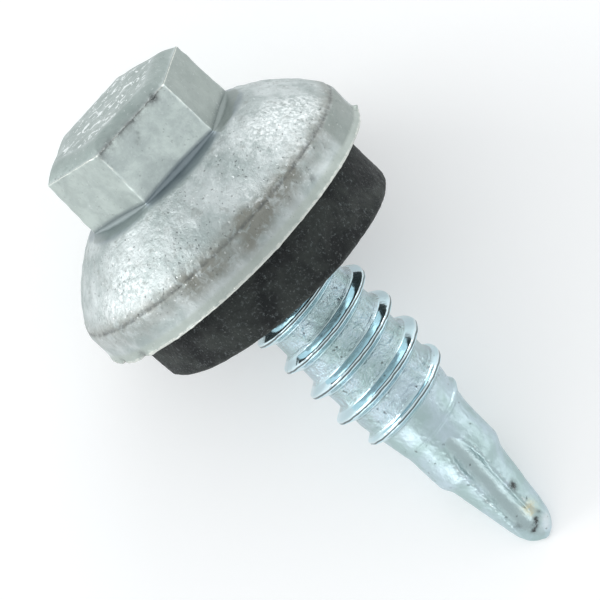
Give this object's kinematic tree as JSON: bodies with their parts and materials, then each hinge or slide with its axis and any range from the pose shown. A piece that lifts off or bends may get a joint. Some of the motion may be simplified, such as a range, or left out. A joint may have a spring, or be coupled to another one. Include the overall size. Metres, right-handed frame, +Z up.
{
  "type": "self drilling screw",
  "caption": "Self drilling screw with a cast hexagon flange head, a thick rubber sealing washer, a coarse thread and a fluted drill point, lying on its flange and tip.",
  "frame": {"origin": "on the floor, under the middle of the screw as it lies, with its lip and its drill point on z = 0", "axes": "+Z up; the head is toward -X and raised, the drill point toward +X; the screw's axis lies in the XZ plane, 20.96 degrees off the floor"},
  "size_m": [0.0294, 0.0166, 0.0161],
  "materials": {
    "zinc_plated_steel": "bright blue-white zinc plate, mottled, with mirror-like thread flanks",
    "cast_zinc_alloy": "as-cast, dull light grey, fine grained, with brownish grey stains along the flange's crease",
    "black_rubber": "charcoal EPDM rubber, matt, with fine light specks"
  },
  "bodies": {
    "root": {"screw_shank": "zinc_plated_steel", "cast_head": "cast_zinc_alloy", "sealing_washer": "black_rubber"}
  },
  "joints": []
}
